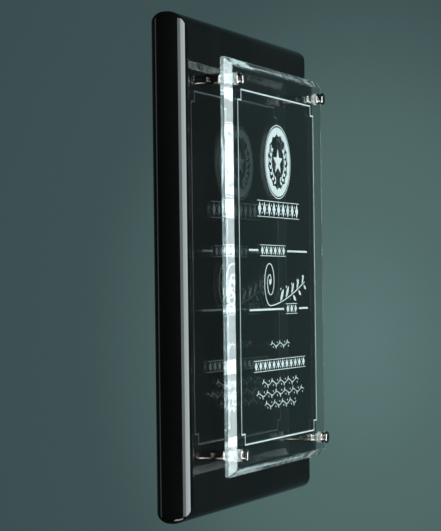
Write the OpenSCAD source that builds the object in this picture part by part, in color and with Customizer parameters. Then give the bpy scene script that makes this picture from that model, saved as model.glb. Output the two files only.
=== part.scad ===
// Wall award plaque: a bevelled glass panel held off a lacquered wood board by four turned metal standoffs.
// Millimetres. +Z is up, the viewer stands on the -Y side and the wall is on the +Y side.
// The origin is the middle of the board's back face, which lies flat on the wall.

/* [Backer board] */
// Width of the board
board_w = 266.7; // [240:0.1:320]
// Height of the board
board_h = 304.8; // [290:0.1:380]
// Thickness of the board
board_t = 22.2; // [21.5:0.1:28]
// Radius of the roundover along the front edges
front_round = 11.1; // [6:0.1:11.5]
// Radius of the roundover along the back edges
back_round = 9.5; // [4:0.1:10]
// Corner radius of the board's outline
corner_r = 5; // [1:0.5:8]

/* [Glass panel] */
// Width of the panel
panel_w = 203.2; // [190:0.1:230]
// Height of the panel
panel_h = 254; // [245:0.1:280]
// Thickness of the panel
panel_t = 6.35; // [6:0.05:10]
// Gap between the board and the panel
panel_gap = 12.7; // [11:0.1:20]
// Width of the bevel seen from the front
bevel_w = 4.7; // [2:0.1:8]
// Depth of the bevel cut into the panel's edge
bevel_d = 4; // [1:0.1:5]
// Radius of the panel's softened corners
panel_corner_r = 2; // [0.5:0.5:4]

/* [Etched border] */
// Width of the bordered area, to the middle of the etched line
border_w = 164; // [140:1:166]
// Height of the bordered area, to the middle of the etched line
border_h = 217.6; // [190:0.1:220]
// Side of the square notch at each corner of the border
border_notch = 6.5; // [3:0.5:12]
// Width of the etched line
border_line = 1.3; // [0.8:0.1:2]
// Depth of the etching in the panel's back face
etch_depth = 0.2; // [0.1:0.05:0.5]

/* [Standoffs] */
// Distance between the left and right standoffs
standoff_pitch_x = 174.6; // [160:0.1:180]
// Distance between the upper and lower standoffs
standoff_pitch_z = 228.6; // [215:0.1:235]
// Radius of a standoff at its flared ends
flare_r = 3.9; // [3.6:0.05:4.2]
// Radius of the barrel's straight stretch
barrel_r = 3.2; // [3:0.05:3.4]
// Radius of the narrowest part of a cap's neck
neck_r = 2.85; // [2.6:0.05:3.2]
// Length of a cap, with its front washer
cap_l = 4.7; // [4:0.1:6]
// Nominal radius of the machine thread in the barrels
thread_r = 2; // [1.5:0.25:2.25]
// Length of thread that a cap's stud has in its barrel
thread_grip = 5; // [3:0.5:6]

/* [Wall hangers] */
// Distance between the two keyholes
keyhole_pitch = 101.6; // [80:0.1:120]
// Height of the keyholes' entry holes above the board's middle
keyhole_z = 96; // [60:1:100]
// Radius of a keyhole's round entry
keyhole_r = 4.6; // [4:0.1:5]
// Width of a keyhole's slot
keyhole_slot_w = 4.8; // [4.2:0.1:6]
// Rise from the entry's centre to the slot's upper end
keyhole_rise = 9; // [7:0.5:12]

/* [Hidden] */
CORNERS = [["upper_left", -1, 1], ["upper_right", 1, 1], ["lower_left", -1, -1], ["lower_right", 1, -1]];
SIDES = [["left", -1], ["right", 1]];
STANDOFF_PARTS = ["barrel", "rear_washer", "sleeve", "front_washer", "cap"];
$fn = 64;

overshoot = 1;

// Distances in front of the board's face along a standoff
rear_washer_t = 1;
front_washer_t = 0.5;
slip = 0.05;
barrel_l = panel_gap - rear_washer_t;
panel_front = panel_gap + panel_t;
front_washer_at = panel_front + slip;
cap_at = front_washer_at + front_washer_t + slip;
cap_front = panel_front + cap_l;
stud_end = barrel_l - thread_grip;

// Radii along a standoff
stud_r = thread_r - slip;
glass_hole_r = 3.1;
sleeve_outer_r = glass_hole_r - slip;
sleeve_inner_r = stud_r + 0.45;
bead_r = barrel_r + 0.4;
rim_t = 0.8;
rim_chamfer = 0.3;

// Machine screw that holds a barrel from behind the board
counterbore_r = 4.6;
counterbore_d = 6;
screw_clearance_r = thread_r + 0.2;
screw_head_r = 3.9;
screw_head_t = 2.6;
screw_shank_l = 20;
screw_shank_r = thread_r - 0.02;
driver_socket_r = 1.45;
driver_socket_d = 1.6;

// Keyhole plate, its recess and its two wood screws
plate_w = 16;
plate_h = 42;
plate_t = 1.6;
plate_fit = 0.1;
plate_low = 15;
plate_screw_inset = 5;
plate_screw_r = 1.5;
plate_screw_head_r = 2.9;
plate_screw_head_t = 1.2;
plate_screw_l = 12;
pocket_w = 12;
pocket_d = 8.4;
pocket_rise = 6;
pocket_drop = 7;

// Draws its children in the plane of the board, growing towards the viewer from this far off the wall.
module facing(off_wall) {
    translate([0, -off_wall, 0]) rotate([90, 0, 0]) children();
}

// Puts its children on one standoff's axis, measured from the board's front face.
module on_standoff(corner) {
    facing(board_t)
        translate([corner[1] * standoff_pitch_x / 2, corner[2] * standoff_pitch_z / 2, 0])
            children();
}

// Puts its children on one keyhole's entry axis, measured from the board's back face into the board.
module on_keyhole(side) {
    facing(0) translate([side * keyhole_pitch / 2, keyhole_z, 0]) children();
}

// Rectangle about the origin with round corners.
module rounded_rectangle(width, height, radius) {
    square([width - 2 * radius, height], center = true);
    square([width, height - 2 * radius], center = true);
    for (x = [-1, 1], y = [-1, 1])
        translate([x * (width / 2 - radius), y * (height / 2 - radius)]) circle(radius);
}

// Cross-section of the board: y = 0 is the back face and y = -board_t the front face.
module board_section(width) {
    front_y = front_round - board_t;
    translate([-width / 2, front_y]) square([width, -back_round - front_y]);
    translate([front_round - width / 2, -board_t]) square([width - 2 * front_round, board_t]);
    translate([back_round - width / 2, -back_round]) square([width - 2 * back_round, back_round]);
    for (side = [-1, 1]) {
        intersection() {
            translate([side * (width / 2 - front_round), front_y]) circle(front_round);
            translate([-width / 2, -board_t]) square([width, front_round]);
        }
        intersection() {
            translate([side * (width / 2 - back_round), -back_round]) circle(back_round);
            translate([-width / 2, -back_round]) square([width, back_round]);
        }
    }
}

// Board with its edge profile mitred at the corners.
module mitred_board() {
    intersection() {
        translate([0, 0, -board_h / 2]) linear_extrude(board_h) board_section(board_w);
        rotate([0, -90, 0]) translate([0, 0, -board_w / 2]) linear_extrude(board_w) board_section(board_h);
    }
}

// Quarter turn of the edge profile, which rounds one corner of the outline.
module corner_turn(start_angle) {
    rotate([-90, 0, 0]) rotate([0, 0, start_angle]) rotate_extrude(angle = 90)
        intersection() {
            translate([corner_r - board_w / 2, 0]) board_section(board_w);
            translate([0, -board_t]) square([corner_r, board_t]);
        }
}

module board_blank() {
    reach_x = board_w / 2 - corner_r;
    reach_z = board_h / 2 - corner_r;
    intersection() {
        mitred_board();
        union() {
            cube([board_w, 2 * board_t, 2 * reach_z], center = true);
            cube([2 * reach_x, 2 * board_t, board_h], center = true);
        }
    }
    for (turn = [[1, -1, 0], [-1, -1, 90], [-1, 1, 180], [1, 1, 270]])
        translate([turn[0] * reach_x, 0, turn[1] * reach_z]) corner_turn(turn[2]);
}

// Recess for a keyhole plate, and the pocket behind it that the wall screw's head rises in.
module hanger_recess() {
    translate([0, plate_h / 2 - plate_low, -overshoot])
        linear_extrude(plate_t + overshoot)
            rounded_rectangle(plate_w + 2 * plate_fit, plate_h + 2 * plate_fit, plate_w / 4);
    translate([-pocket_w / 2, -pocket_drop, 0])
        cube([pocket_w, pocket_drop + keyhole_rise + pocket_rise, pocket_d]);
    plate_screw_places() cylinder(r = plate_screw_r, h = plate_screw_l + plate_fit);
}

module plate_screw_places() {
    for (z = [plate_screw_inset, plate_h - plate_screw_inset])
        translate([0, z - plate_low, 0]) children();
}

module backer_board() {
    color([0.03, 0.03, 0.035])
        difference() {
            board_blank();
            for (corner = CORNERS) on_standoff(corner) {
                translate([0, 0, -board_t - overshoot])
                    cylinder(r = screw_clearance_r, h = board_t + 2 * overshoot);
                translate([0, 0, -board_t - overshoot])
                    cylinder(r = counterbore_r, h = counterbore_d + overshoot);
            }
            for (side = SIDES) on_keyhole(side[1]) hanger_recess();
        }
}

// Closed outline with a square notch stepped into each corner.
module notched_outline(width, height, notch) {
    square([width - 2 * notch, height], center = true);
    square([width, height - 2 * notch], center = true);
}

module etched_border() {
    difference() {
        notched_outline(border_w + border_line, border_h + border_line, border_notch);
        notched_outline(border_w - border_line, border_h - border_line, border_notch);
    }
}

module bevelled_panel() {
    edge_t = panel_t - bevel_d;
    intersection() {
        hull() {
            linear_extrude(edge_t) square([panel_w, panel_h], center = true);
            linear_extrude(panel_t) square([panel_w - 2 * bevel_w, panel_h - 2 * bevel_w], center = true);
        }
        linear_extrude(panel_t) rounded_rectangle(panel_w, panel_h, panel_corner_r);
    }
}

module glass_panel() {
    color([0.75, 0.88, 0.86, 0.4])
        difference() {
            facing(board_t + panel_gap) bevelled_panel();
            for (corner = CORNERS) on_standoff(corner)
                translate([0, 0, panel_gap - overshoot])
                    cylinder(r = glass_hole_r, h = panel_t + 2 * overshoot);
            facing(board_t + panel_gap - overshoot) linear_extrude(overshoot + etch_depth) etched_border();
        }
}

// Barrel with a straight stretch, a bead, and a waisted flare that carries the panel.
module barrel(corner) {
    bead_at = barrel_l - 4.2;
    bead_t = 0.8;
    waist_at = bead_at + bead_t;
    flare_at = barrel_l - rim_t;
    color([0.72, 0.70, 0.67]) on_standoff(corner)
        rotate_extrude()
            polygon([
                [thread_r, 0], [barrel_r, 0], [barrel_r, bead_at], [bead_r, bead_at], [bead_r, waist_at],
                [neck_r, waist_at], [neck_r, waist_at + rim_t], [flare_r, flare_at], [flare_r, barrel_l],
                [thread_r, barrel_l]]);
}

module washer(corner, inner_r, at, thickness) {
    on_standoff(corner) translate([0, 0, at]) rotate_extrude()
        translate([inner_r, 0]) square([flare_r - slip - inner_r, thickness]);
}

module rear_washer(corner) {
    color([0.9, 0.9, 0.9]) washer(corner, sleeve_inner_r, barrel_l, rear_washer_t);
}

module front_washer(corner) {
    color([0.9, 0.9, 0.9]) washer(corner, thread_r, front_washer_at, front_washer_t);
}

// Lines the panel's hole, so that no metal touches the glass.
module sleeve(corner) {
    color([0.92, 0.92, 0.92]) on_standoff(corner) translate([0, 0, panel_gap]) rotate_extrude()
        translate([sleeve_inner_r, 0]) square([sleeve_outer_r - sleeve_inner_r, panel_t]);
}

// Spool-shaped cap and its threaded stud, turned from one bar.
module cap(corner) {
    neck_at = cap_at + (cap_front - cap_at) * 0.45;
    rim_at = cap_front - 2 * rim_t;
    color([0.78, 0.76, 0.73]) on_standoff(corner)
        rotate_extrude()
            polygon([
                [0, stud_end], [stud_r - rim_chamfer, stud_end], [stud_r, stud_end + rim_chamfer],
                [stud_r, cap_at], [flare_r, cap_at], [flare_r, cap_at + rim_t / 2], [neck_r, neck_at],
                [flare_r, rim_at], [flare_r, cap_front - rim_chamfer], [flare_r - rim_chamfer, cap_front],
                [0, cap_front]]);
}

// Four pan-head machine screws that come through the board from behind, one into each barrel.
module barrel_screws() {
    head_floor = counterbore_d - board_t;
    color([0.6, 0.6, 0.62])
        for (corner = CORNERS) on_standoff(corner) difference() {
            union() {
                translate([0, 0, head_floor - screw_head_t]) cylinder(r = screw_head_r, h = screw_head_t);
                translate([0, 0, head_floor]) cylinder(r = screw_shank_r, h = screw_shank_l);
            }
            translate([0, 0, head_floor - screw_head_t - overshoot])
                cylinder(r = driver_socket_r, h = driver_socket_d + overshoot, $fn = 6);
        }
}

// Keyhole plate let in flush with the board's back face.
module hanger_plate(side) {
    color([0.75, 0.68, 0.45]) on_keyhole(side) difference() {
        translate([0, plate_h / 2 - plate_low, 0])
            linear_extrude(plate_t) rounded_rectangle(plate_w, plate_h, plate_w / 4);
        translate([0, 0, -overshoot]) {
            cylinder(r = keyhole_r, h = plate_t + 2 * overshoot);
            translate([0, keyhole_rise, 0]) cylinder(r = keyhole_slot_w / 2, h = plate_t + 2 * overshoot);
            translate([-keyhole_slot_w / 2, 0, 0])
                cube([keyhole_slot_w, keyhole_rise, plate_t + 2 * overshoot]);
        }
        plate_screw_places() hanger_screw_blank(plate_fit);
    }
}

// Countersunk wood screw, larger by the given fit.
module hanger_screw_blank(fit) {
    cylinder(r1 = plate_screw_head_r + fit, r2 = plate_screw_r + fit, h = plate_screw_head_t);
    cylinder(r = plate_screw_r + fit, h = plate_t + fit);
}

// Four wood screws, two through each keyhole plate.
module hanger_screws() {
    color([0.75, 0.68, 0.45])
        for (side = SIDES) on_keyhole(side[1]) plate_screw_places() difference() {
            union() {
                hanger_screw_blank(0);
                cylinder(r = plate_screw_r - slip, h = plate_screw_l);
            }
            translate([0, 0, -overshoot])
                cylinder(r = driver_socket_r / 2, h = overshoot + plate_screw_head_t / 2, $fn = 4);
        }
}

backer_board();
glass_panel();
barrel_screws();
hanger_screws();
for (corner = CORNERS) {
    barrel(corner);
    rear_washer(corner);
    sleeve(corner);
    front_washer(corner);
    cap(corner);
}
for (side = SIDES)
    hanger_plate(side[1]);
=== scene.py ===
"""Looks for the wall award plaque: black piano lacquer, bevelled glass, white etching and polished nickel.

Metres, in the CAD model's frame: +X right, +Z up, the viewer on the -Y side, the wall at y = 0.
"""

import math

import bmesh
import bpy
from mathutils import Matrix, Vector


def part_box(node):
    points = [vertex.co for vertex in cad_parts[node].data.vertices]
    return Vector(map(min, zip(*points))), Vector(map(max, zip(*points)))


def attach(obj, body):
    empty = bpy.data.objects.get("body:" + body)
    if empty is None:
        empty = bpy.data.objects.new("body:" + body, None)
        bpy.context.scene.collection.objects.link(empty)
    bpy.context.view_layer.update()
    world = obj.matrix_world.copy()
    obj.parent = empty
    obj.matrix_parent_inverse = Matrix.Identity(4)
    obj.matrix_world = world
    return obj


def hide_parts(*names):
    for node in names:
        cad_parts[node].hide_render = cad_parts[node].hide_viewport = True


MM = 0.001
CORNERS = ("upper_left", "upper_right", "lower_left", "lower_right")
SIDES = ("left", "right")

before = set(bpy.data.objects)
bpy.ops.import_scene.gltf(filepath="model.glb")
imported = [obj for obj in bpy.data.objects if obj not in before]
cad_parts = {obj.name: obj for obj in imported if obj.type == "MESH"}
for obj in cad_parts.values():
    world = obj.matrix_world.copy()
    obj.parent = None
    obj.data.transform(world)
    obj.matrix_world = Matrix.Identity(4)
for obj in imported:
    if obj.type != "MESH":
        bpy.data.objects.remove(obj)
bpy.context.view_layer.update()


# ---------------------------------------------------------------- sizes

class Sizes:
    """Driving sizes, taken from the CAD nodes' boxes."""

    board_low, board_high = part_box("backer_board")
    panel_low, panel_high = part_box("glass_panel")
    board_w = board_high[0] - board_low[0]
    board_h = board_high[2] - board_low[2]
    board_t = board_high[1] - board_low[1]
    panel_w = panel_high[0] - panel_low[0]
    panel_h = panel_high[2] - panel_low[2]
    panel_t = panel_high[1] - panel_low[1]
    panel_back_y = panel_high[1]


# Board: its rounded edge, and the recesses in its back
FRONT_ROUND = 11.1 * MM
BACK_ROUND = 9.5 * MM
BOARD_CORNER = 5.0 * MM
SOFT_CORNER = 0.8 * MM
FLAT_MARGIN = 0.4 * MM
SCREW_HEAD_R = 4.6 * MM
SCREW_HEAD_DEPTH = 6 * MM
SCREW_SHANK_R = 2.2 * MM
PLATE_FIT = 0.2 * MM
PLATE_CORNER = 4 * MM
KEYHOLE_RISE = 15 * MM
POCKET_HALF_W = 6 * MM
POCKET_BELOW = 7 * MM
POCKET_ABOVE = 15 * MM
POCKET_DEPTH = 8.4 * MM
CUT_PAST = 1 * MM

# Glass: its mitred bevels, corners and holes
BEVEL_W = 4.7 * MM
BEVEL_D = 4.0 * MM
PANEL_CORNER = 2.0 * MM
FACE_CORNER = 0.2 * MM
GLASS_HOLE_R = 3.1 * MM
ARRIS = 0.25 * MM

# Standoffs
THREAD_PITCH = 0.7 * MM
THREAD_DEPTH = 0.3 * MM
TURN_STEPS = 64
SEAT_GAP = 0.05 * MM
STUD_OVERLAP = 0.3 * MM

# Angles in degrees, above which an edge stays hard
BOARD_EDGE = 60
TURNED_EDGE = 50
CUT_EDGE = 30
GLASS_EDGE = 20
DRILLED_EDGE = 15


def node_axis(node):
    """Middle of a turned node in x and z, and its lowest and highest distance in front of the wall."""
    low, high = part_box(node)
    return (low[0] + high[0]) / 2, (low[2] + high[2]) / 2, -high[1], -low[1]


# ---------------------------------------------------------------- materials

GLASS_IOR = 1.5
LACQUER_IOR = 1.5
NYLON_IOR = 1.53
TONE_SPAN = (0.35, 0.65)
ROUGHNESS_SPAN = (0.3, 0.7)


def new_material(name):
    material = bpy.data.materials.new(name)
    material.use_nodes = True
    tree = material.node_tree
    shader = tree.nodes["Principled BSDF"]
    return material, tree, shader


def noise(tree, scale, detail=3.0, stretch=(1, 1, 1)):
    """Noise in the object's own metres, so its grain has a real size."""
    place = tree.nodes.new("ShaderNodeTexCoord")
    mapping = tree.nodes.new("ShaderNodeMapping")
    mapping.inputs["Scale"].default_value = stretch
    texture = tree.nodes.new("ShaderNodeTexNoise")
    texture.inputs["Scale"].default_value = scale
    texture.inputs["Detail"].default_value = detail
    tree.links.new(place.outputs["Object"], mapping.inputs["Vector"])
    tree.links.new(mapping.outputs["Vector"], texture.inputs["Vector"])
    return texture.outputs["Fac"]


def tint(tree, shader, value, dark, light):
    """Colours a surface between two tones by a noise value, and returns the colour."""
    ramp = tree.nodes.new("ShaderNodeValToRGB")
    for element, position, tone in zip(ramp.color_ramp.elements, TONE_SPAN, (dark, light)):
        element.position = position
        element.color = (*tone, 1)
    tree.links.new(value, ramp.inputs["Fac"])
    tree.links.new(ramp.outputs["Color"], shader.inputs["Base Color"])
    return ramp.outputs["Color"]


def roughen(tree, shader, value, low, high):
    """Varies a surface's roughness between two values by a noise value."""
    ramp = tree.nodes.new("ShaderNodeMapRange")
    ramp.inputs["From Min"].default_value = ROUGHNESS_SPAN[0]
    ramp.inputs["From Max"].default_value = ROUGHNESS_SPAN[1]
    ramp.inputs["To Min"].default_value = low
    ramp.inputs["To Max"].default_value = high
    tree.links.new(value, ramp.inputs["Value"])
    tree.links.new(ramp.outputs["Result"], shader.inputs["Roughness"])


def add_bump(tree, shader, value, strength, distance):
    bump = tree.nodes.new("ShaderNodeBump")
    bump.inputs["Strength"].default_value = strength
    bump.inputs["Distance"].default_value = distance
    tree.links.new(value, bump.inputs["Height"])
    tree.links.new(bump.outputs["Normal"], shader.inputs["Normal"])


def make_clear(shader, transmission, ior):
    shader.inputs["Transmission Weight"].default_value = transmission
    shader.inputs["IOR"].default_value = ior


def piano_lacquer():
    """Polished black lacquer: nearly a mirror, with the faintest figure of the wood and orange peel."""
    material, tree, shader = new_material("piano_lacquer")
    figure = noise(tree, 30, 5, (1, 1, 0.12))
    tint(tree, shader, figure, (0.0016, 0.0017, 0.0019), (0.0034, 0.0032, 0.0032))
    roughen(tree, shader, noise(tree, 60), 0.012, 0.03)
    shader.inputs["IOR"].default_value = LACQUER_IOR
    add_bump(tree, shader, noise(tree, 130, 1), 0.02, 0.0001)
    return material


def satin_back():
    """Sprayed satin black on the board's back and in its recesses."""
    material, tree, shader = new_material("satin_back")
    grain = noise(tree, 420, 4, (1, 1, 0.08))
    tint(tree, shader, grain, (0.010, 0.010, 0.010), (0.022, 0.021, 0.020))
    roughen(tree, shader, noise(tree, 90), 0.38, 0.55)
    add_bump(tree, shader, grain, 0.25, 0.0002)
    return material


def clear_glass():
    material, tree, shader = new_material("clear_glass")
    make_clear(shader, 1.0, GLASS_IOR)
    tint(tree, shader, noise(tree, 9, 1), (0.935, 0.985, 0.970), (0.940, 0.988, 0.975))
    shader.inputs["Roughness"].default_value = 0.0
    return material


def ground_glass():
    """Drilled wall of a hole, left grey from the diamond drill."""
    material, tree, shader = new_material("ground_glass")
    make_clear(shader, 0.7, GLASS_IOR)
    tint(tree, shader, noise(tree, 900), (0.70, 0.78, 0.76), (0.88, 0.93, 0.92))
    shader.inputs["Roughness"].default_value = 0.55
    add_bump(tree, shader, noise(tree, 1800), 0.4, 0.0001)
    return material


def satin_edge():
    """Left and right edges: polished, but still wavy and faintly milky from the grinding wheel."""
    material, tree, shader = new_material("satin_edge")
    streaks = noise(tree, 260, 3, (1, 1, 0.25))
    make_clear(shader, 0.86, GLASS_IOR)
    tint(tree, shader, streaks, (0.74, 0.86, 0.89), (0.93, 0.98, 1.0))
    roughen(tree, shader, streaks, 0.01, 0.07)
    add_bump(tree, shader, noise(tree, 420, 2), 0.25, 0.0001)
    return material


def polished_bevel():
    """Top and bottom edges: nearly clear, with the small waves of hand polishing."""
    material, tree, shader = new_material("polished_bevel")
    waves = noise(tree, 300, 3, (0.4, 1, 1))
    make_clear(shader, 0.95, GLASS_IOR)
    tint(tree, shader, waves, (0.62, 0.82, 0.80), (0.88, 0.98, 0.965))
    roughen(tree, shader, waves, 0.005, 0.05)
    add_bump(tree, shader, waves, 0.4, 0.0002)
    return material


def white_etch():
    """Sand-carved glass: matt, faintly mottled, and thin enough to glow on both sides."""
    material, tree, shader = new_material("white_etch")
    mottle = noise(tree, 1300, 4)
    tone = tint(tree, shader, mottle, (0.59, 0.66, 0.66), (0.77, 0.82, 0.82))
    roughen(tree, shader, mottle, 0.7, 0.95)
    add_bump(tree, shader, noise(tree, 2600), 0.3, 0.00005)
    through = tree.nodes.new("ShaderNodeBsdfTranslucent")
    tree.links.new(tone, through.inputs["Color"])
    both = tree.nodes.new("ShaderNodeMixShader")
    both.inputs["Fac"].default_value = 0.5
    tree.links.new(shader.outputs["BSDF"], both.inputs[1])
    tree.links.new(through.outputs["BSDF"], both.inputs[2])
    tree.links.new(both.outputs["Shader"], tree.nodes["Material Output"].inputs["Surface"])
    return material


def polished_nickel():
    """Warm polished nickel, with the fine rings that turning and buffing leave."""
    material, tree, shader = new_material("polished_nickel")
    shader.inputs["Metallic"].default_value = 1.0
    tint(tree, shader, noise(tree, 300), (0.66, 0.62, 0.57), (0.74, 0.71, 0.67))
    roughen(tree, shader, noise(tree, 700), 0.05, 0.14)
    add_bump(tree, shader, noise(tree, 500, 2, (0.15, 6, 0.15)), 0.05, 0.00005)
    return material


def clear_nylon():
    """Slightly cloudy moulded nylon."""
    material, tree, shader = new_material("clear_nylon")
    make_clear(shader, 0.65, NYLON_IOR)
    tint(tree, shader, noise(tree, 400), (0.80, 0.84, 0.84), (0.90, 0.92, 0.92))
    roughen(tree, shader, noise(tree, 900), 0.25, 0.42)
    return material


def zinc_plate():
    """Bluish zinc plating on the machine screws."""
    material, tree, shader = new_material("zinc_plate")
    shader.inputs["Metallic"].default_value = 1.0
    tint(tree, shader, noise(tree, 260), (0.48, 0.50, 0.54), (0.62, 0.63, 0.64))
    roughen(tree, shader, noise(tree, 500), 0.25, 0.42)
    add_bump(tree, shader, noise(tree, 1500), 0.15, 0.00005)
    return material


def brushed_brass():
    """Brass plating over rolled steel, with the brushing along the plate."""
    material, tree, shader = new_material("brushed_brass")
    shader.inputs["Metallic"].default_value = 1.0
    brushing = noise(tree, 1400, 3, (1, 1, 0.03))
    tint(tree, shader, brushing, (0.52, 0.40, 0.18), (0.74, 0.60, 0.32))
    roughen(tree, shader, brushing, 0.22, 0.40)
    add_bump(tree, shader, brushing, 0.2, 0.00005)
    return material


def pale_floor():
    material, tree, shader = new_material("pale_floor")
    tint(tree, shader, noise(tree, 3), (0.74, 0.75, 0.75), (0.78, 0.79, 0.79))
    shader.inputs["Roughness"].default_value = 0.85
    return material


LACQUER = piano_lacquer()
BACK = satin_back()
GLASS = clear_glass()
GROUND = ground_glass()
EDGE = satin_edge()
BEVEL = polished_bevel()
ETCH = white_etch()
NICKEL = polished_nickel()
NYLON = clear_nylon()
ZINC = zinc_plate()
BRASS = brushed_brass()


# ---------------------------------------------------------------- mesh helpers

def finish_mesh(name, shape, sharp_degrees, *materials):
    """Turns a bmesh into an object, smooth apart from the edges sharper than the given angle."""
    bmesh.ops.recalc_face_normals(shape, faces=shape.faces)
    for face in shape.faces:
        face.smooth = True
    mesh = bpy.data.meshes.new(name)
    shape.to_mesh(mesh)
    shape.free()
    mesh.set_sharp_from_angle(angle=math.radians(sharp_degrees))
    for material in materials:
        mesh.materials.append(material)
    piece = bpy.data.objects.new(name, mesh)
    bpy.context.scene.collection.objects.link(piece)
    return piece


def rounded_ring(width, height, radius, steps=10):
    """Points round a rectangle with round corners, the same number for every radius."""
    points = []
    for quarter, (side_x, side_z) in enumerate(((1, 1), (-1, 1), (-1, -1), (1, -1))):
        for step in range(steps + 1):
            turn = math.radians(90 * (quarter + step / steps))
            points.append((side_x * (width / 2 - radius) + radius * math.cos(turn),
                           side_z * (height / 2 - radius) + radius * math.sin(turn)))
    return points


def loft(shape, rings, hollow=False):
    """Skin through rings of (x, y, z) points: flat at both ends, or joined end to end if hollow."""
    loops = [[shape.verts.new(point) for point in ring] for ring in rings]
    if hollow:
        loops.append(loops[0])
    for near, far in zip(loops, loops[1:]):
        for index in range(len(near)):
            after = (index + 1) % len(near)
            shape.faces.new((near[index], near[after], far[after], far[index]))
    if not hollow:
        shape.faces.new(loops[0])
        shape.faces.new(list(reversed(loops[-1])))


def carve(piece, cutter, sharp_degrees):
    """Cuts one object out of another, sets its hard edges anew, and deletes the cutter."""
    cut = piece.modifiers.new("cut", "BOOLEAN")
    cut.operation = "DIFFERENCE"
    cut.solver = "EXACT"
    cut.object = cutter
    evaluated = piece.evaluated_get(bpy.context.evaluated_depsgraph_get())
    carved = bpy.data.meshes.new_from_object(evaluated)
    piece.modifiers.clear()
    piece.data = carved
    carved.set_sharp_from_angle(angle=math.radians(sharp_degrees))
    bpy.data.objects.remove(cutter, do_unlink=True)


def prism(shape, outline, near_y, far_y):
    """Solid with the given (x, z) outline between two depths."""
    loft(shape, [[(x, near_y, z) for x, z in outline], [(x, far_y, z) for x, z in outline]])


def circle(x, z, radius, steps=48):
    return [(x + radius * math.cos(2 * math.pi * step / steps),
             z + radius * math.sin(2 * math.pi * step / steps)) for step in range(steps)]


def lathe(shape, profile, x, z, hollow=False):
    """Turns a profile of (radius, distance in front of the wall) about an axis through (x, z)."""
    rings = []
    for radius, reach in profile:
        rings.append([(px, -reach, pz) for px, pz in circle(x, z, radius, TURN_STEPS)])
    loft(shape, rings, hollow)


def waist(start, low, end, steps=8):
    """Smooth concave curve between two (radius, reach) points, through a narrow one."""
    curve = []
    for first, last in ((start, low), (low, end)):
        for step in range(steps):
            part = step / steps
            ease = math.sin(part * math.pi / 2) if first is start else 1 - math.cos(part * math.pi / 2)
            curve.append((first[0] + (last[0] - first[0]) * ease, first[1] + (last[1] - first[1]) * part))
    return curve + [end]


# ---------------------------------------------------------------- the board

def board_profile(steps=14):
    """(inset, y) points of the board's edge, from the back face round to the front face."""
    profile = [(BACK_ROUND + FLAT_MARGIN, 0.0)]
    for step in range(steps + 1):
        turn = math.radians(90 * step / steps)
        profile.append((BACK_ROUND * (1 - math.sin(turn)), -BACK_ROUND * (1 - math.cos(turn))))
    for step in range(steps + 1):
        turn = math.radians(90 * step / steps)
        profile.append((FRONT_ROUND * (1 - math.cos(turn)),
                        -Sizes.board_t + FRONT_ROUND * (1 - math.sin(turn))))
    profile.append((FRONT_ROUND + FLAT_MARGIN, -Sizes.board_t))
    return profile


def screw_recesses():
    """Cutter for the stepped holes of the four barrel screws, right through the board."""
    profile = [(SCREW_HEAD_R, -CUT_PAST), (SCREW_HEAD_R, SCREW_HEAD_DEPTH),
               (SCREW_SHANK_R, SCREW_HEAD_DEPTH), (SCREW_SHANK_R, Sizes.board_t + CUT_PAST)]
    shape = bmesh.new()
    for corner in CORNERS:
        x, z, _, _ = node_axis("barrel_" + corner)
        lathe(shape, profile, x, z)
    return finish_mesh("screw_holes", shape, CUT_EDGE)


def hanger_recesses():
    """Cutter for the keyhole plates' recesses."""
    shape = bmesh.new()
    for side in SIDES:
        low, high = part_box("hanger_plate_" + side)
        x, z = (low[0] + high[0]) / 2, (low[2] + high[2]) / 2
        ring = rounded_ring(high[0] - low[0] + PLATE_FIT, high[2] - low[2] + PLATE_FIT, PLATE_CORNER)
        prism(shape, [(x + px, z + pz) for px, pz in ring], CUT_PAST, low[1])
    return finish_mesh("plate_recesses", shape, CUT_EDGE)


def hanger_pockets():
    """Cutter for the pockets behind the plates, which the wall screws' heads rise in."""
    shape = bmesh.new()
    for side in SIDES:
        low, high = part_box("hanger_plate_" + side)
        middle = (low[0] + high[0]) / 2
        left, right = middle - POCKET_HALF_W, middle + POCKET_HALF_W
        entry_z = low[2] + KEYHOLE_RISE
        bottom, top = entry_z - POCKET_BELOW, entry_z + POCKET_ABOVE
        outline = [(left, bottom), (right, bottom), (right, top), (left, top)]
        prism(shape, outline, CUT_PAST, -POCKET_DEPTH)
    return finish_mesh("head_pockets", shape, CUT_EDGE)


def board():
    shape = bmesh.new()
    rings = []
    for inset, y in board_profile():
        radius = math.hypot(max(BOARD_CORNER - inset, 0), SOFT_CORNER)
        ring = rounded_ring(Sizes.board_w - 2 * inset, Sizes.board_h - 2 * inset, radius)
        rings.append([(x, y, z) for x, z in ring])
    loft(shape, rings)
    piece = finish_mesh("lacquered_board", shape, BOARD_EDGE, LACQUER, BACK)
    for cutter in (screw_recesses(), hanger_recesses(), hanger_pockets()):
        carve(piece, cutter, CUT_EDGE)
    flat_x, flat_z = Sizes.board_w / 2 - BACK_ROUND, Sizes.board_h / 2 - BACK_ROUND
    lacquer_slot, back_slot = range(2)
    for face in piece.data.polygons:
        spot = face.center
        inside = spot.y > -BACK_ROUND and abs(spot.x) < flat_x and abs(spot.z) < flat_z
        face.material_index = back_slot if inside else lacquer_slot
    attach(piece, "plaque")
    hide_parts("backer_board")


# ---------------------------------------------------------------- the glass

def glass_slot(face, holes):
    """Material slot of a panel's face: flat, drilled, left and right edges, or top and bottom edges."""
    flat_slot, drilled_slot, upright_slot, level_slot = range(4)
    flat_normal, hole_slack = 0.98, 1.01
    if abs(face.normal.y) > flat_normal:
        return flat_slot
    spot = face.center
    if any(math.hypot(spot.x - x, spot.z - z) < GLASS_HOLE_R * hole_slack for x, z in holes):
        return drilled_slot
    return upright_slot if abs(face.normal.x) > abs(face.normal.z) else level_slot


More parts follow.
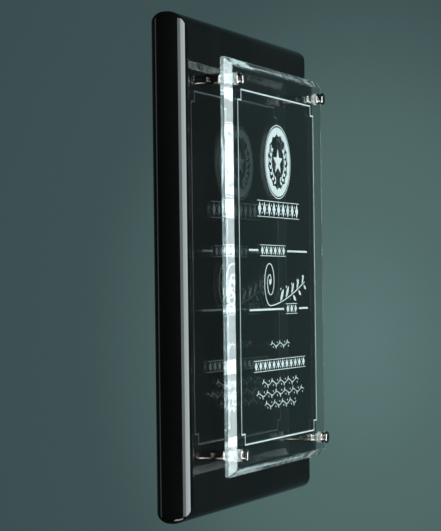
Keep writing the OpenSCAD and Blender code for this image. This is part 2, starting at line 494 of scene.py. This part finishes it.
def glass_panel():
    """Bevelled panel: mitred bevels in front, fine arrises, and four drilled holes."""
    back = Sizes.panel_back_y
    rim = back - (Sizes.panel_t - BEVEL_D)
    front = back - Sizes.panel_t
    stations = ((ARRIS, back, PANEL_CORNER), (0, back - ARRIS, PANEL_CORNER), (0, rim, PANEL_CORNER),
                (BEVEL_W, front, FACE_CORNER))
    shape = bmesh.new()
    rings = []
    for inset, y, radius in stations:
        ring = rounded_ring(Sizes.panel_w - 2 * inset, Sizes.panel_h - 2 * inset, radius, steps=6)
        rings.append([(x, y, z) for x, z in ring])
    loft(shape, rings)
    piece = finish_mesh("bevelled_glass", shape, GLASS_EDGE, GLASS, GROUND, EDGE, BEVEL)
    holes = [node_axis("sleeve_" + corner)[:2] for corner in CORNERS]
    drill = bmesh.new()
    for x, z in holes:
        prism(drill, circle(x, z, GLASS_HOLE_R), back + CUT_PAST, front - CUT_PAST)
    carve(piece, finish_mesh("drill", drill, CUT_EDGE), DRILLED_EDGE)
    for face in piece.data.polygons:
        face.material_index = glass_slot(face, holes)
    piece.visible_shadow = False
    piece.visible_diffuse = False
    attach(piece, "plaque")
    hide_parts("glass_panel")


# ---------------------------------------------------------------- the etching

# Outlines here are in millimetres about the panel's middle. plate() and band() turn them into metres.
ETCH_NEAR = Sizes.panel_back_y - 0.03 * MM
ETCH_FAR = Sizes.panel_back_y + 0.02 * MM


def plate(shape, outline):
    """Etched patch with this (x, z) outline."""
    prism(shape, [(x * MM, z * MM) for x, z in outline], ETCH_NEAR, ETCH_FAR)


def band(shape, outer, inner, closed=True):
    """Etched band between two outlines of as many points."""
    layers = []
    for y in (ETCH_NEAR, ETCH_FAR):
        layers.append([[shape.verts.new((x * MM, y, z * MM)) for x, z in line] for line in (outer, inner)])
    (near_out, near_in), (far_out, far_in) = layers
    count = len(outer)
    for index in range(count if closed else count - 1):
        after = (index + 1) % count
        for a, b, c, d in ((near_out, near_in, near_in, near_out), (far_in, far_out, far_out, far_in),
                           (near_out, far_out, far_out, near_out), (near_in, far_in, far_in, near_in)):
            shape.faces.new((a[index], b[index], c[after], d[after]))
    if not closed:
        for index in (0, count - 1):
            shape.faces.new((near_out[index], near_in[index], far_in[index], far_out[index]))


def etched(name, shape):
    """Finishes a piece of the etching, which belongs to the glass."""
    piece = finish_mesh(name, shape, CUT_EDGE, ETCH)
    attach(piece, "plaque")


def bar(shape, x0, x1, z, thickness):
    bottom, top = z - thickness / 2, z + thickness / 2
    plate(shape, [(x0, bottom), (x1, bottom), (x1, top), (x0, top)])


def disc(shape, x, z, radius):
    plate(shape, circle(x, z, radius, 12))


def leaf(shape, x, z, length, width, angle):
    """Pointed leaf that grows from (x, z) in the given direction."""
    outline = []
    steps = 8
    for side in (1, -1):
        for step in range(steps):
            part = step / steps if side > 0 else 1 - step / steps
            along, across = length * part, side * width / 2 * math.sin(math.pi * part)
            outline.append((x + along * math.cos(angle) - across * math.sin(angle),
                            z + along * math.sin(angle) + across * math.cos(angle)))
    plate(shape, outline)


def notched_outline(half_w, half_h, notch):
    """Rectangle with a square notch stepped into each corner."""
    corners = []
    for sx, sz in ((1, 1), (-1, 1), (-1, -1), (1, -1)):
        steps = [(sx * half_w, sz * (half_h - notch)), (sx * (half_w - notch), sz * (half_h - notch)),
                 (sx * (half_w - notch), sz * half_h)]
        corners += steps if sx * sz > 0 else steps[::-1]
    return corners


def border():
    """Single notched line round the panel."""
    half_w = 82.0
    half_h = 108.8
    notch = 6.5
    half_line = 0.425
    shape = bmesh.new()
    band(shape, notched_outline(half_w + half_line, half_h + half_line, notch),
         notched_outline(half_w - half_line, half_h - half_line, notch))
    etched("etched_border", shape)


def medallion():
    """Generic oval award seal: a fine ring, a broad fluted ring, a star and two laurel sprays."""
    centre_z = 67.7
    stretch = 1.19
    steps = 180
    fine_outer, fine_inner = 23.7, 23.1
    broad_outer, broad_inner = 22.2, 18.2
    flutes, flute_depth = 30, 1.6
    star_tip, star_waist = 8.6, 3.6
    spray_r, leaf_length, leaf_width = 13.2, 4.6, 2.0
    leaf_lean, leaf_parting = 0.55, 0.165
    leaf_pairs, first_pair, pair_step = 7, 16, 17
    shape = bmesh.new()

    def spot(radius, turn):
        return stretch * radius * math.cos(turn), centre_z + radius * math.sin(turn)

    def ring(radius_at):
        return [spot(radius_at(step), 2 * math.pi * step / steps) for step in range(steps)]

    def fluted(step):
        return broad_inner - flute_depth * abs(math.sin(math.pi * flutes / 2 * step / steps))

    band(shape, ring(lambda step: fine_outer), ring(lambda step: fine_inner))
    band(shape, ring(lambda step: broad_outer), ring(fluted))
    plate(shape, [spot(star_waist if point % 2 else star_tip, math.radians(90 + 36 * point))
                  for point in range(10)])
    for side in (-1, 1):
        for number in range(leaf_pairs):
            turn = math.radians(-90 + side * (first_pair + pair_step * number))
            for hand in (-1, 1):
                x, z = spot(spray_r - side * hand * leaf_parting, turn)
                leaf(shape, x, z, leaf_length, leaf_width, turn + side * math.pi / 2 + hand * leaf_lean)
    etched("etched_medallion", shape)


def frieze(shape, x0, x1, z, height, cells):
    """Solid diamonds with two beads between neighbours, between two fine rules."""
    rule = 0.4
    step = (x1 - x0) / cells
    half_w = step * 0.34
    half_h = height / 2 - 1.9 * rule
    bead_rise = height * 0.24
    bead_r = step * 0.07
    for side in (-1, 1):
        bar(shape, x0, x1, z + side * (height - rule) / 2, rule)
    for number in range(cells):
        x = x0 + step * (number + 0.5)
        plate(shape, [(x - half_w, z), (x, z - half_h), (x + half_w, z), (x, z + half_h)])
    for number in range(1, cells):
        for side in (-1, 1):
            disc(shape, x0 + step * number, z + side * bead_rise, bead_r)


def vine(shape, x0, x1, z, height, cells):
    """Running vine: a wavy stem with a leaf on each crest and a berry under it."""
    half_stem = 0.28
    swing = height * 0.22
    points_a_cell = 8
    step = (x1 - x0) / cells
    leaf_shift = step * 0.25
    leaf_length = height * 0.72
    leaf_width = height * 0.30
    leaf_angle = 1.05
    berry_shift = step * 0.2
    berry_drop = height * 0.30
    berry_r = height * 0.13
    upper, lower = [], []
    for index in range(cells * points_a_cell + 1):
        part = index / (cells * points_a_cell)
        x = x0 + (x1 - x0) * part
        wave = math.sin(part * cells * math.pi) * swing
        upper.append((x, z + wave + half_stem))
        lower.append((x, z + wave - half_stem))
    band(shape, upper, lower, closed=False)
    for number in range(cells):
        x = x0 + step * (number + 0.5)
        side = 1 if number % 2 == 0 else -1
        leaf(shape, x - leaf_shift, z, leaf_length, leaf_width, side * leaf_angle)
        disc(shape, x + berry_shift, z - side * berry_drop, berry_r)


def inscription():
    """Ornament in place of every line of lettering, with each line's real place, width and weight.

    A row gives its left and right ends, its middle's z, and for friezes and vines its height and cells.
    """
    friezes = ((-45, 46, 37, 10.4, 9), (-40, 15, 10.7, 7.2, 6), (14, 40, -26.6, 6.8, 3))
    rules = ((-63, -44, 10.7), (18.5, 63.5, 10.7), (-63, 9.5, -26.6), (44, 64, -26.6))
    rule_thickness = 1.2
    citation_frieze = (-56, 57, -61.9, 7.2, 12)
    citation_vines = ((-20.5, 21, -49.2, 4.6, 5), (-39.5, 40, -73.2, 5.0, 9),
                      (-51, 52, -80.0, 5.0, 11), (-34, 34.5, -86.9, 5.0, 8))
    headings = bmesh.new()
    for row in friezes:
        frieze(headings, *row)
    for row in rules:
        bar(headings, *row, rule_thickness)
    etched("etched_headings", headings)
    citation = bmesh.new()
    frieze(citation, *citation_frieze)
    for row in citation_vines:
        vine(citation, *row)
    etched("etched_citation", citation)


def pen_stroke(shape, centre, thin, thick):
    """Stroke along a line of points, broad where it runs up and down and fine where it runs across."""
    left, right = [], []
    last = len(centre) - 1
    for index, (x, z) in enumerate(centre):
        before, after = centre[max(index - 1, 0)], centre[min(index + 1, last)]
        dx, dz = after[0] - before[0], after[1] - before[1]
        length = math.hypot(dx, dz)
        half = (thin + (thick - thin) * abs(dz / length)) / 2
        left.append((x - dz / length * half, z + dx / length * half))
        right.append((x + dz / length * half, z - dx / length * half))
    band(shape, left, right, closed=False)


def flourish():
    """Olive branch: it springs from a large volute and runs out to the right in leaves and fruit."""
    eye_x, eye_z, eye_r = -20.0, -9.2, 1.9
    reach, stretch, turns, tightness = 13.0, 1.16, 1.8, 0.84
    base_z = eye_z - stretch * reach
    tip_x, rise, bend = 57.0, 15.0, 1.6
    thin, thick = 0.55, 1.3
    leaves, first_leaf, leaf_step = 5, 0.28, 0.16
    longest, shortening = 13.0, 6.0
    upper_offset, upper_slender, upper_lean = 0.8, 0.36, 0.6
    fruit_r, fruit_shift, fruit_rise = 0.9, 1.5, 0.75
    lower_from, lower_shift, lower_offset, lower_lean = 0.55, 4, 0.4, 0.7
    lower_long, lower_wide = 0.8, 0.3
    steps = 150

    def branch(part):
        """Point of the branch: 0 is where it leaves the volute, 1 is its tip."""
        return eye_x + (tip_x - eye_x) * part, base_z + rise * part ** bend

    shape = bmesh.new()
    stem = [branch(1 - step / steps) for step in range(steps)]
    for step in range(steps + 1):
        part = step / steps
        turn = -math.pi / 2 - 2 * math.pi * turns * part
        radius = reach * (1 - tightness * part)
        stem.append((eye_x + radius * math.cos(turn), eye_z + stretch * radius * math.sin(turn)))
    pen_stroke(shape, stem, thin, thick)
    disc(shape, eye_x, eye_z, eye_r)
    for number in range(leaves):
        part = first_leaf + leaf_step * number
        x, z = branch(part)
        slope = math.atan2(bend * rise * part ** (bend - 1), tip_x - eye_x)
        length = longest - shortening * part
        leaf(shape, x, z + upper_offset, length, length * upper_slender, slope + upper_lean)
        disc(shape, x + fruit_shift, z + length * fruit_rise, fruit_r)
        if part > lower_from:
            leaf(shape, x + lower_shift, z - lower_offset, length * lower_long, length * lower_wide,
                 slope - lower_lean)
    etched("etched_flourish", shape)


# ---------------------------------------------------------------- the standoffs

def barrel(corner):
    """Turned barrel, bored through: straight body, bead, and a waisted flare behind the panel."""
    x, z, start, end = node_axis("barrel_" + corner)
    bore = 2.0 * MM
    straight = 3.2 * MM
    bead = 3.6 * MM
    neck = 2.45 * MM
    flare = 3.9 * MM
    soft = 0.15 * MM
    bead_w = 0.8 * MM
    bead_at = end - 4.2 * MM
    bead_end = bead_at + bead_w
    neck_at = bead_end + 1.3 * MM
    flare_at = end - 0.8 * MM
    steps = 8
    profile = [(bore, start), (straight - soft, start), (straight, start + soft), (straight, bead_at)]
    for step in range(1, steps):
        turn = math.radians(180 * step / steps)
        profile.append((straight + (bead - straight) * math.sin(turn),
                        bead_at + bead_w / 2 * (1 - math.cos(turn))))
    profile += waist((straight, bead_end), (neck, neck_at), (flare - soft, flare_at))
    profile += [(flare, flare_at + soft), (flare, end - soft), (flare - soft, end), (bore, end)]
    shape = bmesh.new()
    lathe(shape, profile, x, z, hollow=True)
    piece = finish_mesh("turned_barrel_" + corner, shape, TURNED_EDGE, NICKEL)
    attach(piece, "plaque")
    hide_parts("barrel_" + corner)


def cap_head(shape, x, z, seat, end):
    """Spool-shaped head of a cap: foot, concave neck, broad rim and a flat face with a shallow dish."""
    core = 1.0 * MM
    foot = 3.9 * MM
    neck = 2.85 * MM
    rim = 3.9 * MM
    soft = 0.12 * MM
    slope = 0.1 * MM
    foot_end = seat + 0.4 * MM
    neck_at = seat + 1.5 * MM
    rim_at = end - 1.5 * MM
    shoulder = 0.3 * MM
    lip = rim - 0.9 * MM
    dish = end - 0.06 * MM
    centre = 0.4 * MM
    profile = [(core, seat), (foot - soft, seat), (foot, seat + soft), (foot, foot_end)]
    profile += waist((foot - soft, foot_end + slope), (neck, neck_at), (rim - soft, rim_at))
    profile += [(rim, rim_at + soft), (rim, end - shoulder), (rim - soft, end - slope), (rim - shoulder, end),
                (lip, end), (lip - slope, dish), (centre, dish)]
    lathe(shape, profile, x, z)


def threaded_stud(shape, x, z, start, end):
    """Stud with a true helical thread, which shows when the cap is unscrewed."""
    crest = 1.94 * MM
    lead_in = 0.5 * MM
    tip_share = 0.15
    tip_scale = 0.8
    steps = 40
    rows_a_pitch = 8
    rows = round((end - start) / THREAD_PITCH * rows_a_pitch)
    rings = []
    for row in range(rows + 1):
        reach = start + (end - start) * row / rows
        taper = min(1.0, (reach - start) / lead_in + tip_share)
        ring = []
        for step in range(steps):
            phase = (reach / THREAD_PITCH - step / steps) % 1.0
            full = crest - THREAD_DEPTH * abs(2 * phase - 1)
            radius = full * (tip_scale + (1 - tip_scale) * taper)
            turn = 2 * math.pi * step / steps
            ring.append((x + radius * math.cos(turn), -reach, z + radius * math.sin(turn)))
        rings.append(ring)
    loft(shape, rings)


def cap(corner):
    """Cap and stud in one piece. The two shapes overlap a little, so that no gap shows."""
    x, z, start, end = node_axis("cap_" + corner)
    seat = -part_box("front_washer_" + corner)[0][1] + SEAT_GAP
    shape = bmesh.new()
    cap_head(shape, x, z, seat, end)
    threaded_stud(shape, x, z, start, seat + STUD_OVERLAP)
    piece = finish_mesh("spool_cap_" + corner, shape, TURNED_EDGE, NICKEL)
    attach(piece, "cap_" + corner)
    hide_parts("cap_" + corner)


# ---------------------------------------------------------------- CAD nodes that stay

def dress(node, material):
    """Gives a CAD node a better material."""
    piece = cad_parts[node]
    for slot in piece.material_slots:
        slot.link = "OBJECT"
        slot.material = material


# ---------------------------------------------------------------- studio

CAMERA_AZIMUTH = -71.65
CAMERA_ELEVATION = -0.55
CAMERA_ROLL = -0.715
CAMERA_DISTANCE = 1.533
CAMERA_LENS = 193.4
SENSOR_W = 36.0
AIM = Vector((0, 0, 0.0019))
WATTS_PER_RADIANCE = 4
COOL = (0.86, 0.98, 1.0)
PALE = (0.92, 1.0, 1.0)
WARM = (1.0, 0.97, 0.92)
NEUTRAL = (1.0, 1.0, 1.0)


def compass(azimuth, elevation):
    """Unit vector from the object towards a place: azimuth 0 is the viewer's side, 90 is +X."""
    a, e = math.radians(azimuth), math.radians(elevation)
    return Vector((math.sin(a) * math.cos(e), -math.cos(a) * math.cos(e), math.sin(e)))


def facing(direction):
    """Turn that points a camera or a light along a direction."""
    return direction.to_track_quat("-Z", "Y").to_matrix().to_4x4()


def camera():
    lens = bpy.data.cameras.new("camera")
    lens.sensor_fit = "HORIZONTAL"
    lens.sensor_width = SENSOR_W
    lens.lens = CAMERA_LENS
    lens.clip_start = 0.05
    camera_object = bpy.data.objects.new("camera", lens)
    place = AIM + CAMERA_DISTANCE * compass(CAMERA_AZIMUTH, CAMERA_ELEVATION)
    roll = Matrix.Rotation(math.radians(CAMERA_ROLL), 4, "Z")
    camera_object.matrix_world = Matrix.Translation(place) @ facing(AIM - place) @ roll
    bpy.context.scene.collection.objects.link(camera_object)
    bpy.context.scene.camera = camera_object


def softbox(name, azimuth, elevation, distance, width, height, radiance, colour):
    """Rectangular light that faces the object. Radiance is the brightness of its face."""
    light = bpy.data.lights.new(name, "AREA")
    light.shape = "RECTANGLE"
    light.size = width
    light.size_y = height
    light.color = colour
    light.energy = WATTS_PER_RADIANCE * width * height * radiance
    box = bpy.data.objects.new(name, light)
    place = distance * compass(azimuth, elevation)
    box.matrix_world = Matrix.Translation(place) @ facing(-place)
    box.visible_camera = False
    bpy.context.scene.collection.objects.link(box)
    return box


def studio_light():
    softbox("key_softbox", 5, 0, 1.5, 0.96, 1.7, 7.0, COOL)
    softbox("key_wing", -22, 0, 1.65, 0.60, 1.7, 2.6, COOL)
    softbox("low_card", -50, -63, 0.7, 0.45, 0.25, 4.0, WARM)
    softbox("rim_strip", 196, 0, 1.8, 0.35, 1.6, 0.45, NEUTRAL)
    fill = softbox("top_left_fill", -72, 52, 1.4, 0.9, 0.6, 6.0, PALE)
    fill.visible_glossy = False


GLOW = compass(105, -1.0)
GLOW_HEIGHT = 1.35
GLOW_TONES = ((0.0, (0.103, 0.185, 0.178)), (0.05, (0.083, 0.146, 0.139)), (0.125, (0.049, 0.083, 0.086)),
              (0.20, (0.044, 0.076, 0.079)), (0.55, (0.026, 0.044, 0.044)), (1.0, (0.018, 0.026, 0.027)))
FADE_FROM = 0.17
FADE_TO = 0.5
FADED = 0.3


def glow_colour(tree, direction):
    """Colour by the angle in radians from the middle of a pool of light, taller than it is wide."""
    flatten = tree.nodes.new("ShaderNodeVectorMath")
    flatten.operation = "MULTIPLY"
    flatten.inputs[1].default_value = (1, 1, 1 / GLOW_HEIGHT)
    unit = tree.nodes.new("ShaderNodeVectorMath")
    unit.operation = "NORMALIZE"
    towards = tree.nodes.new("ShaderNodeVectorMath")
    towards.operation = "DOT_PRODUCT"
    towards.inputs[1].default_value = GLOW
    angle = tree.nodes.new("ShaderNodeMath")
    angle.operation = "ARCCOSINE"
    ramp = tree.nodes.new("ShaderNodeValToRGB")
    ramp.color_ramp.interpolation = "EASE"
    while len(ramp.color_ramp.elements) < len(GLOW_TONES):
        ramp.color_ramp.elements.new(0.5)
    for element, (position, tone) in zip(ramp.color_ramp.elements, GLOW_TONES):
        element.position = position
        element.color = (*tone, 1)
    tree.links.new(direction, flatten.inputs[0])
    tree.links.new(flatten.outputs["Vector"], unit.inputs[0])
    tree.links.new(unit.outputs["Vector"], towards.inputs[0])
    tree.links.new(towards.outputs["Value"], angle.inputs[0])
    tree.links.new(angle.outputs["Value"], ramp.inputs["Fac"])
    return ramp.outputs["Color"]


def overhead_fade(tree, direction):
    """Strength that falls off well above and below the object."""
    split = tree.nodes.new("ShaderNodeSeparateXYZ")
    height = tree.nodes.new("ShaderNodeMath")
    height.operation = "ABSOLUTE"
    falloff = tree.nodes.new("ShaderNodeMapRange")
    falloff.inputs["From Min"].default_value = FADE_FROM
    falloff.inputs["From Max"].default_value = FADE_TO
    falloff.inputs["To Min"].default_value = 1.0
    falloff.inputs["To Max"].default_value = FADED
    tree.links.new(direction, split.inputs["Vector"])
    tree.links.new(split.outputs["Z"], height.inputs[0])
    tree.links.new(height.outputs["Value"], falloff.inputs["Value"])
    return falloff.outputs["Result"]


def backdrop():
    """Plain teal-grey studio, with a soft pool of light on the far side and darker elsewhere."""
    world = bpy.data.worlds.new("studio")
    world.use_nodes = True
    tree = world.node_tree
    background = tree.nodes["Background"]
    direction = tree.nodes.new("ShaderNodeTexCoord").outputs["Generated"]
    tree.links.new(glow_colour(tree, direction), background.inputs["Color"])
    tree.links.new(overhead_fade(tree, direction), background.inputs["Strength"])
    bpy.context.scene.world = world


def floor():
    """Pale floor well below the plaque, which hangs on a wall."""
    top_z = -0.62
    thickness = 0.02
    outline = circle(0, 0, 2.6, 96)
    shape = bmesh.new()
    loft(shape, [[(x, y, z) for x, y in outline] for z in (top_z - thickness, top_z)])
    plane = finish_mesh("studio_floor", shape, CUT_EDGE, pale_floor())
    plane.visible_glossy = False
    plane.visible_transmission = False


board()
glass_panel()
border()
medallion()
inscription()
flourish()
for corner in CORNERS:
    barrel(corner)
    cap(corner)
    for washer in ("rear_washer_", "front_washer_", "sleeve_"):
        dress(washer + corner, NYLON)
dress("barrel_screws", ZINC)
for side in SIDES:
    dress("hanger_plate_" + side, BRASS)
dress("hanger_screws", BRASS)

camera()
studio_light()
backdrop()
floor()
bpy.context.scene.view_settings.view_transform = "Standard"
bpy.context.scene.cycles.max_bounces = 24
bpy.context.scene.cycles.glossy_bounces = 16
bpy.context.scene.cycles.transmission_bounces = 16
